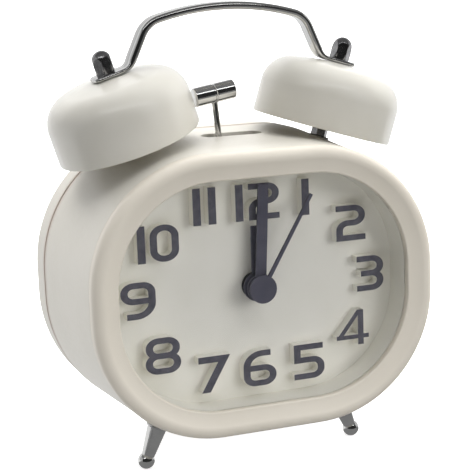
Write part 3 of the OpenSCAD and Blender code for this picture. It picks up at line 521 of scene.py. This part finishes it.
rim = arc((BELL_R - BELL_WALL / 2, BELL_WALL / 2), BELL_WALL / 2, 0, -180, 10)
BELL_STEPS = 12
BELL_TURN_STEPS = 144
inside = list(reversed(bell_side(BELL_WALL, BELL_STEPS)))
bell_profile = bell_side(0, BELL_STEPS) + rim + inside
for side, flip in SIDES.items():
    bell_rings = turned(bell_profile, flip @ right_bell_place, BELL_TURN_STEPS)
    make_piece(
        side + "_bell_cup", skin(bell_rings, loop=True), bell_finish, "clock_body",
        [side + "_bell"],
    )

# %% [markdown]
# ## The strap handle
# The handle is one chrome strap. It rises from a flat tab under each nut, bends up, then
# bends over into a shallow arch. Its section is a rounded bar that is hammered thin and wide
# at the tabs. Carrying a section along a path, with its width and thickness changing on the
# way, gives that in one skin.

# %% Handle path
STRAP_W = 6.2
STRAP_T = 2.3
TAB_T = 1.2
TAB_W = 8
TAB_OUT = 4.7
TAB_IN = 5.2
SWELL = 0.5
LOW_BEND = 48.8
LOW_R = 5
LEG_L = 7.4
HIGH_BEND = 50
HIGH_R = 8


def on_bell(height, off):
    """A point in the handle's plane: height along the right bell's axis, offset outward."""
    p = tilt_place @ Vector((off, 0, height))
    return Vector((p.x, p.z))


def heading(angle):
    """The direction of an angle in degrees."""
    return Vector((math.cos(math.radians(angle)), math.sin(math.radians(angle))))


def bend(start, angle, turn, radius, steps):
    """Points and headings along a bend; a positive turn goes to the left."""
    side = 1 if turn > 0 else -1
    middle = start + side * radius * heading(angle + 90)
    stops = [turn * (k + 1) / steps for k in range(steps)]
    return [(middle - side * radius * heading(angle + t + 90), angle + t) for t in stops]


tab_heading = 180 - BELL_TILT
# Each stop on the tab is an offset outward from the bell's axis, with the tab's width there.
TAB_STOPS = (
    (TAB_OUT, 4.8), (4.1, 6.9), (3.2, TAB_W), (0, TAB_W), (-3, TAB_W), (-4, TAB_W - 0.4),
    (-TAB_IN, STRAP_W + SWELL),
)
path = [(on_bell(BELL_H + STRAP_T / 2, off), tab_heading) for off, width in TAB_STOPS]
path += bend(path[-1][0], tab_heading, -LOW_BEND, LOW_R, 12)
low_end = len(path)
leg_start, leg_heading = path[-1]
LEG_STOPS = 6
for k in range(1, LEG_STOPS + 1):
    path.append((leg_start + LEG_L * k / LEG_STOPS * heading(leg_heading), leg_heading))
path += bend(path[-1][0], path[-1][1], HIGH_BEND, HIGH_R, 14)
crown_start, crown_heading = path[-1]
crown_half = 180 - crown_heading
crown_radius = crown_start.x / math.sin(math.radians(crown_half))
path += bend(crown_start, crown_heading, crown_half, crown_radius, 20)
print("handle path has", len(path), "stops up to the middle, highest at", round(path[-1][0].y, 2), "mm")

# %% Handle skin
SECTION_STEPS = 6
EDGE_ROUND = 1.05
SHARP_EDGE = 0.02


def strap_section(spot, angle, width, thickness, flip):
    """One ring of the strap. Its underside stays on the path's inner line."""
    over = heading(angle - 90)
    low = -STRAP_T / 2
    radius = min(thickness / 2 - SHARP_EDGE, EDGE_ROUND)
    ring = []
    for quarter, (sn, sw) in enumerate(((1, 1), (-1, 1), (-1, -1), (1, -1))):
        for k in range(SECTION_STEPS + 1):
            a = math.radians(90 * (quarter + k / SECTION_STEPS))
            n = low + thickness / 2 + sn * (thickness / 2 - radius) + radius * math.cos(a)
            w = sw * (width / 2 - radius) + radius * math.sin(a)
            p = spot + n * over
            ring.append(nod_place @ Vector((flip * p.x, w, p.y)))
    return ring


half_rings = []
for i, (spot, angle) in enumerate(path):
    along = min(1, max(0, (i - len(TAB_STOPS) + 1) / (low_end - len(TAB_STOPS))))
    ease = along * along * (3 - 2 * along)
    width = TAB_STOPS[i][1] if i < len(TAB_STOPS) else STRAP_W + SWELL * (1 - ease)
    half_rings.append((spot, angle, width, TAB_T + (STRAP_T - TAB_T) * ease))
strap_rings = [strap_section(*stop, 1) for stop in half_rings]
strap_rings += [strap_section(*stop, -1) for stop in reversed(half_rings[:-1])]
strap_points, strap_faces = skin(strap_rings)
ring_size = len(strap_rings[0])
last = len(strap_points) - ring_size
strap_faces += [tuple(range(ring_size)), tuple(range(last, last + ring_size))]
make_piece(
    "strap_handle", (strap_points, strap_faces), strap_finish, "clock_body",
    ["carry_handle"], sharp=50,
)

# %% [markdown]
# ## The dome nuts
# Each nut is a tall hexagon closed by a dome, with its corners cut by the same turning.
# At every height the nut's edge is the smaller of two radii: the hexagon's in that direction
# and the turned form's. Taking the smaller one draws the curved scallops by itself.
# The photograph shows the left nut on a corner and the right one on a flat.

# %% Dome nuts
NUT_FLATS = 5.5
NUT_TURN = {"left": math.radians(48), "right": math.radians(40)}
NUT_H = 7.1
NUT_SEAT = BELL_H + TAB_T
NUT_STEPS = 96
NUT_CHAMFER = 0.3
DOME_STEP = 0.12
DOME_START = 4
NUT_ROWS = 4
nut_corner = NUT_FLATS / 2 / math.cos(math.radians(30))
dome_r = nut_corner - DOME_STEP
nut_turning = [(0, 0), (nut_corner - NUT_CHAMFER, 0), (nut_corner, NUT_CHAMFER)]
nut_turning += [(nut_corner, NUT_H - dome_r - NUT_CHAMFER * k) for k in range(NUT_ROWS, 0, -1)]
nut_turning += [(r, h + NUT_H - dome_r) for r, h in arc((0, 0), dome_r, DOME_START, 90, 26)]


def nut_rings(place, turn):
    """The nut's rings from its seat to the top of the dome, turned by an angle."""
    rings = []
    for r, h in nut_turning:
        ring = []
        for k in range(NUT_STEPS):
            a = 2 * math.pi * k / NUT_STEPS
            to_flat = (a + math.pi / 6) % (math.pi / 3) - math.pi / 6
            edge = min(r, NUT_FLATS / 2 / math.cos(to_flat - math.copysign(math.pi / 6, to_flat)))
            across, into = edge * math.cos(a + turn), edge * math.sin(a + turn)
            ring.append(place @ Vector((across, into, NUT_SEAT + h)))
        rings.append(ring)
    return rings


nut_points, nut_faces = [], []
for side, flip in SIDES.items():
    points, faces = skin(nut_rings(flip @ right_bell_place, NUT_TURN[side]))
    nut_faces += [tuple(i + len(nut_points) for i in face) for face in faces]
    nut_points += points
make_piece(
    "cap_nuts", (nut_points, nut_faces), nut_finish, "clock_body",
    ["dome_nuts"], sharp=28,
)

# %% [markdown]
# ## The hammer head
# A short chrome bar with bevelled ends and a groove turned round its middle, pressed across
# the top of the rod. It belongs to the swinging hammer, so it rides on that body.

# %% Hammer head
HEAD_SPOT = (-4.0496, 32.2, 57.2)
HEAD_L = 13.2
HEAD_R = 3
ROD_LEAN = 4.5
HEAD_TILT = 5
BEVEL = 0.45
FACE_ROUND = 0.15
GROOVE = ((0, 0.42), (0.08, 0.3), (0.26, 0.16))
half = HEAD_L / 2
head_half = [(0, half), (HEAD_R - BEVEL - FACE_ROUND, half)]
head_half += arc((HEAD_R - BEVEL, half - BEVEL), BEVEL, 80, 0, 5)
head_half += [(HEAD_R - deep, at) for deep, at in GROOVE]
head_profile = head_half + [(r, -h) for r, h in reversed(head_half)]
head_place = (
    Matrix.Translation(HEAD_SPOT)
    @ Matrix.Rotation(math.radians(-ROD_LEAN - HEAD_TILT), 4, "Y")
    @ Matrix.Rotation(math.radians(90), 4, "Y")
)
make_piece(
    "striker_head", skin(turned(head_profile, head_place)), chrome_finish, "hammer",
    ["hammer_head"], sharp=30,
)

# %% [markdown]
# ## The front legs
# A leg is turned in one piece: a seat against the case, a ring, a long taper and a ball.
# The ball has a small flat where it stands, which is made by lifting to the floor every point
# that would lie below it.

# %% Legs
LEG_BEAR = 21.4
LEG_DEPTH = 21.4
LEG_SEAT = 39.5419
LEG_LENGTH = 12.8
BALL_R = 2.6
NECK_R = 2
TOP_R = 3
RING_R = 3.5
RING_ROUND = 0.5
RING_MIDDLE = 1.65
RING_REACH = 85
RING_FOOT = (TOP_R + 0.02, 2.3)
TAPER_TOP = (TOP_R - 0.03, 2.7)
COLLAR_END = 0.85
LEG_SINK = 0.3
leg_place = (
    Matrix.Translation((CORNER_X, LEG_DEPTH, -CORNER_Z))
    @ Matrix.Rotation(math.radians(180 - LEG_BEAR), 4, "Y")
    @ Matrix.Translation((0, 0, LEG_SEAT))
)
neck = math.degrees(math.asin(NECK_R / BALL_R))
leg_profile = [(0, -LEG_SINK), (TOP_R, -LEG_SINK), (TOP_R, COLLAR_END)]
leg_profile += arc((RING_R - RING_ROUND, RING_MIDDLE), RING_ROUND, -RING_REACH, RING_REACH, 10)
leg_profile += [RING_FOOT, TAPER_TOP]
leg_profile += [(r, LEG_LENGTH - h) for r, h in arc((0, 0), BALL_R, 90 - neck, -90, 24)]
to_clock = CLOCK.inverted()
for side, flip in SIDES.items():
    points, faces = skin(turned(leg_profile, flip @ leg_place))
    in_room = [CLOCK @ Vector(p) for p in points]
    stood = [to_clock @ Vector((p.x, p.y, max(p.z, 0))) for p in in_room]
    make_piece(
        side + "_leg", (stood, faces), chrome_finish, "clock_body",
        [side + "_foot"], sharp=30,
    )

# %% [markdown]
# ## The numerals
# The numerals are moulded with the dial, stand well proud of it, and are printed on their
# faces only. A font would be quicker, but the built-in one has other forms than these wide,
# round-cornered ones. So each is drawn as with a broad pen: a line with rounded corners,
# widened to both sides. It is drawn narrow and then stretched sideways, which makes the
# upright strokes broader than the level ones. Strokes that cross differ by a hair in depth,
# so that no two faces coincide.

# %% A pen for the numerals
PEN = 1.85
STRETCH = 1.25
BEND_STEPS = 8
LEVEL_CUT = 0.5


def rounded_line(corners):
    """A line through (x, z, radius) corners, each rounded by its radius."""
    line = []
    for i, (x, z, radius) in enumerate(corners):
        corner = Vector((x, z))
        if radius == 0:
            line.append(corner)
            continue
        back = (Vector(corners[i - 1][:2]) - corner).normalized()
        ahead = (Vector(corners[(i + 1) % len(corners)][:2]) - corner).normalized()
        half = back.angle(ahead) / 2
        middle = corner + (back + ahead).normalized() * radius / math.sin(half)
        start = (corner + back * radius / math.tan(half) - middle).normalized()
        end = (corner + ahead * radius / math.tan(half) - middle).normalized()
        for k in range(BEND_STEPS + 1):
            line.append(middle + start.slerp(end, k / BEND_STEPS).normalized() * radius)
    return line


def pen_edges(line, closed, width):
    """Both edges of a stroke. A steep stroke is cut level at its ends, a flat one upright."""
    edges = []
    count = len(line)
    for i, spot in enumerate(line):
        at_start, at_end = not closed and i == 0, not closed and i == count - 1
        come = (line[1] - spot if at_start else spot - line[i - 1]).normalized()
        go = come if at_end else (line[(i + 1) % count] - spot).normalized()
        side = Vector((-(come + go).y, (come + go).x)).normalized()
        reach = width / 2 / side.dot(Vector((-go.y, go.x)))
        if (at_start or at_end) and abs(go.y) > LEVEL_CUT:
            side = Vector((-math.copysign(1, go.y), 0))
            reach = width / 2 / abs(go.y)
        edges.append((spot + side * reach, spot - side * reach))
    return edges


def stroke_slab(edges, closed, place, front, back):
    """One stroke as a slab between two depths, stretched sideways about its place."""
    rings = []
    for left, right in edges:
        (left_x, left_z), (right_x, right_z) = left, right
        near = [(left_x, front, left_z), (right_x, front, right_z)]
        far = [(right_x, back, right_z), (left_x, back, left_z)]
        rings.append([(place[0] + x * STRETCH, y, place[1] + z) for x, y, z in near + far])
    points, faces = skin(rings, loop=closed)
    if not closed:
        tail = len(points) - 4
        faces += [(3, 2, 1, 0), (tail, tail + 1, tail + 2, tail + 3)]
    return points, faces


print("the pen draws level strokes", PEN, "mm and upright ones", round(PEN * STRETCH, 2), "mm broad")

# %% Draw the ten figures
NUMERAL_H = 11.1
FIGURE_W = {0: 9.0, 1: 2.5, 2: 9.9, 3: 9.1, 4: 11.0, 5: 10.2, 6: 10.8, 7: 9.8, 8: 11.1, 9: 10.8}
ROUND = 2.25
top = NUMERAL_H / 2
bar = top - PEN / 2


def closed_loop(half_width, low, high, radius):
    """The corners of a loop, all with one radius."""
    spots = ((-half_width, low), (half_width, low), (half_width, high), (-half_width, high))
    return [(x, z, radius) for x, z in spots]


def figure(digit):
    """The strokes of a figure: (corners, closed, pen width). Corners are (x, z, radius)."""
    out = FIGURE_W[digit] / STRETCH / 2
    side = out - PEN / 2
    if digit == 0:
        nearly_half = 0.98 * side
        return [(closed_loop(side, -bar, bar, nearly_half), True, PEN)]
    if digit == 1:
        return [([(0, top, 0), (0, -top, 0)], False, 2 * out)]
    if digit == 2:
        return [([(-out, bar, 0), (side, bar, ROUND), (side, 0, ROUND), (-side, 0, ROUND),
                  (-side, -bar, 0), (out, -bar, 0)], False, PEN)]
    if digit == 3:
        waist = -0.7 * out
        later = waist + 0.2
        return [
            ([(-out, bar, 0), (side, bar, ROUND), (side, 0, ROUND), (waist, 0, 0)], False, PEN),
            ([(later, 0, 0), (side, 0, ROUND), (side, -bar, ROUND), (-out, -bar, 0)], False, PEN),
        ]
    if digit == 4:
        stem, arm = 2.2, -2.9
        slant_foot, slant_top = 0.8 - out, stem - 0.3
        stem_pen, arm_pen, slant_pen = 0.85 * PEN, 0.75 * PEN, 0.65 * PEN
        return [
            ([(stem, top, 0), (stem, -top, 0)], False, stem_pen),
            ([(-out, arm, 0), (out, arm, 0)], False, arm_pen),
            ([(slant_foot, arm, 0), (slant_top, top, 0)], False, slant_pen),
        ]
    if digit == 5:
        tip, waist = out - 0.35, 0.55
        return [([(tip, bar, 0), (-side, bar, 0), (-side, waist, 0), (side, waist, ROUND),
                  (side, -bar, ROUND), (-out, -bar, 0)], False, PEN)]
    if digit == 7:
        knee, foot, seven_pen = out - 1.27, -2.2, 1.1 * PEN
        return [([(-out, bar, 0), (knee, bar, 0), (foot, -top, 0)], False, seven_pen)]
    if digit == 8:
        slim, slim_round = 0.95 * side, 2.2
        return [
            (closed_loop(slim, 0, bar, slim_round), True, PEN),
            (closed_loop(side, -bar, 0, ROUND), True, PEN),
        ]
    tip, waist, sweep = 0.67 * out, 0.1, 4
    six = [(tip, bar, 0), (-side, bar, sweep), (-side, -bar, ROUND), (side, -bar, ROUND),
           (side, waist, ROUND), (-side, waist, 0)]
    turn = 1 if digit == 6 else -1
    return [([(turn * x, turn * z, radius) for x, z, radius in six], False, PEN)]


print("figures are", min(FIGURE_W.values()), "to", max(FIGURE_W.values()), "mm wide,", NUMERAL_H, "mm high")

# %% Set the numerals on the dial
# Each figure comes with the place of its middle on the dial, across and up.
HOURS = [
    (1, 16.2, 26), (2, 31.1, 16.6), (3, 37.4, 0.2), (4, 31, -16.6), (5, 16, -25.3), (6, -0.4, -25.3),
    (7, -15.2, -25.2), (8, -31, -17.4), (9, -37.8, 0), (1, -36.1, 16.4), (0, -29, 16.4),
    (1, -18.6, 26), (1, -13.8, 26), (1, -5.2, 26), (2, 2.7, 26),
]
DIAL_FLOOR = 14
NUMERAL_UP = 3.5
PRINT_INSET = 0.06
PRINT_LIFT = 0.04
HAIR = 0.015
body_points, body_faces, print_points, print_faces = [], [], [], []
for digit, x, z in HOURS:
    for k, (corners, closed, width) in enumerate(figure(digit)):
        line = rounded_line(corners)
        face = DIAL_FLOOR - NUMERAL_UP + k * HAIR
        layers = [
            (body_points, body_faces, width, face, DIAL_FLOOR + k * HAIR),
            (print_points, print_faces, width - PRINT_INSET, face - PRINT_LIFT, face + PRINT_LIFT),
        ]
        for points, faces, broad, front, back in layers:
            edges = pen_edges(line, closed, broad)
            new_points, new_faces = stroke_slab(edges, closed, (x, z), front, back)
            faces += [tuple(len(points) + v for v in f) for f in new_faces]
            points += new_points
make_piece(
    "moulded_numerals", (body_points, body_faces), dial_finish, "clock_body",
    ["hour_numerals"],
)
make_piece("numeral_faces", (print_points, print_faces), print_finish, "clock_body", [])

# %% [markdown]
# ## Soft edges on the CAD pieces
# No moulded or stamped edge is perfectly sharp, and a thin bright line along an edge tells
# the eye what it is made of. A weld closes the CAD mesh, and a small bevel rounds what is
# sharper than thirty degrees. It is a modifier, so the CAD mesh itself isn't touched.

# %% Soften edges
WELD = 0.001
SHARP_ANGLE = 30
soft_edges = {
    0.12: ["hour_hand", "minute_hand", "second_hand", "alarm_hand"],
    0.18: ["battery_door", "switch_slider", "bell_spacers", "post_washers"],
}
for width, names in soft_edges.items():
    for name in names:
        weld = NODE[name].modifiers.new("close", "WELD")
        weld.merge_threshold = WELD * MM
        soften = NODE[name].modifiers.new("soften", "BEVEL")
        soften.width = width * MM
        soften.segments = 2
        soften.limit_method = "ANGLE"
        soften.angle_limit = math.radians(SHARP_ANGLE)
        soften.harden_normals = True
print("softened", sum(len(names) for names in soft_edges.values()), "pieces")

# %% [markdown]
# ## The studio
# The photograph is lit from above on a white sweep, so tops are almost white and fronts fall
# to grey. The floor here is a round sweep that only the camera sees, so it stays white from
# every side. The air round the clock glows a little: more behind it, and faintly from the
# lower left, as from a white table.

# %% Floor
floor_finish = Finish(
    "white_sweep", Specular_IOR_Level=0.1, Emission_Color=(1, 1, 1, 1), Emission_Strength=0.7
)
floor_finish.colour(floor_finish.grain(400), paint(246, 246, 246), paint(249, 249, 249))
floor_finish.gloss(floor_finish.grain(60), 0.8, 0.9)
FLOOR_R = 4
SWEEP_R = 3
SWEEP_STEPS = 64
CENTRE_R = 0.01
sweep_profile = [(CENTRE_R, 0)] + arc((FLOOR_R, SWEEP_R), SWEEP_R, -90, 0, 12)
sweep_profile += [(FLOOR_R + SWEEP_R, 2 * SWEEP_R)]
floor_points, floor_faces = skin(turned(sweep_profile, Matrix.Identity(4), SWEEP_STEPS))
floor_faces.append(tuple(range(SWEEP_STEPS)))
floor_mesh = bpy.data.meshes.new("floor")
floor_mesh.from_pydata(floor_points, [], floor_faces)
floor_mesh.materials.append(floor_finish.material)
floor = bpy.data.objects.new("floor", floor_mesh)
bpy.context.scene.collection.objects.link(floor)
floor.visible_diffuse = floor.visible_glossy = floor.visible_shadow = False
print("the sweep is", 2 * (FLOOR_R + SWEEP_R), "m across")

# %% The air round the clock
world = bpy.data.worlds.new("studio_air")
bpy.context.scene.world = world
world.use_nodes = True
sky = world.node_tree
look = sky.nodes.new("ShaderNodeTexCoord")


def sky_ramp(direction, stops):
    """Brightness that changes along one direction, from -1 behind it to 1 ahead of it."""
    facing = sky.nodes.new("ShaderNodeVectorMath")
    facing.operation = "DOT_PRODUCT"
    facing.inputs[1].default_value = direction
    spread = sky.nodes.new("ShaderNodeMapRange")
    spread.inputs["From Min"].default_value = -1
    fade = sky.nodes.new("ShaderNodeValToRGB")
    while len(fade.color_ramp.elements) < len(stops):
        fade.color_ramp.elements.new(0.5)
    for element, (spot, level) in zip(fade.color_ramp.elements, stops):
        element.position = (spot + 1) / 2
        element.color = (level, level, level, 1)
    sky.links.new(look.outputs["Generated"], facing.inputs[0])
    sky.links.new(facing.outputs["Value"], spread.inputs["Value"])
    sky.links.new(spread.outputs["Result"], fade.inputs["Fac"])
    return fade.outputs["Color"]


def add_light(first, second):
    """The sum of two parts of the sky."""
    both = sky.nodes.new("ShaderNodeVectorMath")
    sky.links.new(first, both.inputs[0])
    sky.links.new(second, both.inputs[1])
    return both.outputs["Vector"]


height_light = sky_ramp((0, 0, 1), [(-1, 0.14), (-0.02, 0.14), (0.02, 0), (0.3, 0.1), (1, 0.1)])
back_light = sky_ramp((0, 1, 0), [(-1, 0), (0.2, 0), (0.7, 0.9)])
left_bounce = sky_ramp((-0.75, 0, -0.66), [(-1, 0), (0.3, 0), (0.8, 0.14)])
air = add_light(add_light(height_light, back_light), left_bounce)
sky.links.new(air, sky.nodes["Background"].inputs["Color"])
print("the air has", len(sky.nodes), "nodes")

# %% [markdown]
# ## Lamps and cards
# Wide lamps above and behind do most of the work. A key and a fill from the front right and
# a lamp at the right side shape the bells, and two small lamps low down stand for the light
# that a white table sends back up. Chrome shows what is round it, so cards that appear only
# in reflections draw its bands: bright ones behind, at the sides and in a strip above the
# front, dim ones in front, overhead and on the near half of the table.

# %% Makers of lamps and cards
def add_lamp(name, spot, aim, size, power):
    """A soft lamp that neither the camera nor a reflection shows."""
    lamp_data = bpy.data.lights.new(name, "AREA")
    lamp_data.shape = "RECTANGLE"
    lamp_data.size, lamp_data.size_y = size
    lamp_data.energy = power
    lamp = bpy.data.objects.new(name, lamp_data)
    bpy.context.scene.collection.objects.link(lamp)
    lamp.location = spot
    lamp.rotation_euler = (Vector(aim) - Vector(spot)).to_track_quat("-Z", "Y").to_euler()
    lamp.visible_camera = lamp.visible_glossy = False


def add_card(name, spot, aim, size, level):
    """A board with an even glow that only shows in reflections."""
    card_finish = Finish(name, Specular_IOR_Level=0, Emission_Strength=level)
    card_finish.colour(card_finish.grain(200), paint(8, 8, 8), paint(10, 10, 10))
    glow = card_finish.grain(300)
    tint = card_finish.tree.nodes.new("ShaderNodeValToRGB")
    tint.color_ramp.elements[0].color = (0.94, 0.94, 0.94, 1)
    card_finish.tree.links.new(glow, tint.inputs["Fac"])
    card_finish.tree.links.new(tint.outputs["Color"], card_finish.shader.inputs["Emission Color"])
    card_mesh = bpy.data.meshes.new(name)
    w, h = size[0] / 2, size[1] / 2
    card_mesh.from_pydata([(-w, -h, 0), (w, -h, 0), (w, h, 0), (-w, h, 0)], [], [(0, 1, 2, 3)])
    card_mesh.materials.append(card_finish.material)
    card = bpy.data.objects.new(name, card_mesh)
    bpy.context.scene.collection.objects.link(card)
    card.location = spot
    card.rotation_euler = (Vector(aim) - Vector(spot)).to_track_quat("-Z", "Y").to_euler()
    card.visible_camera = card.visible_diffuse = card.visible_shadow = False


print("lamp and card makers are ready")

# %% Place lamps and cards
CLOCK_MIDDLE = (0, 0, 0.06)
add_lamp("key_lamp", (0.35, -0.7, 1.2), CLOCK_MIDDLE, (1.0, 0.8), 3.6)
add_lamp("overhead_lamp", (0.0, 0.15, 1.1), CLOCK_MIDDLE, (1.2, 0.9), 7.9)
add_lamp("back_lamp", (0.1, 0.8, 1.0), CLOCK_MIDDLE, (1.2, 0.8), 11)
add_lamp("right_lamp", (1.0, 0.2, 0.6), CLOCK_MIDDLE, (0.6, 0.8), 8)
add_lamp("fill_lamp", (0.6, -0.95, 0.45), CLOCK_MIDDLE, (0.6, 0.6), 5)
add_lamp("front_bounce", (-0.05, -0.22, 0.005), CLOCK_MIDDLE, (0.3, 0.12), 0.12)
add_lamp("side_bounce", (-0.18, 0.0, 0.01), CLOCK_MIDDLE, (0.12, 0.24), 0.055)
add_card("table_front", (0, -2.98, -0.02), (0, -2.98, 1), (6, 6), 0.28)
add_card("table_back", (0, 3.02, -0.02), (0, 3.02, 1), (6, 6), 1.1)
add_card("front_card", (-0.3, -1.0, 0.4), CLOCK_MIDDLE, (3.2, 1.0), 0.03)
add_card("ceiling_card", (0, 0.3, 1.5), (0, 0.3, 0), (3.6, 2.6), 0.25)
add_card("strip_card", (-0.2, -0.72, 1.0), CLOCK_MIDDLE, (1.8, 0.12), 4)
add_card("back_card", (0, 2.2, 0.7), CLOCK_MIDDLE, (5.0, 2.0), 1.0)
add_card("left_card", (-2.0, 0.4, 0.6), CLOCK_MIDDLE, (2.4, 1.6), 0.6)
add_card("right_card", (2.0, 0.4, 0.6), CLOCK_MIDDLE, (2.4, 1.6), 0.8)
bpy.context.scene.view_settings.view_transform = "Standard"
bpy.context.scene.view_settings.look = "None"
print("placed", len(bpy.data.lights), "lamps")

# %% [markdown]
# ## Last update
# The view layer is brought up to date once every piece is placed.

# %% Update the view layer
bpy.context.view_layer.update()
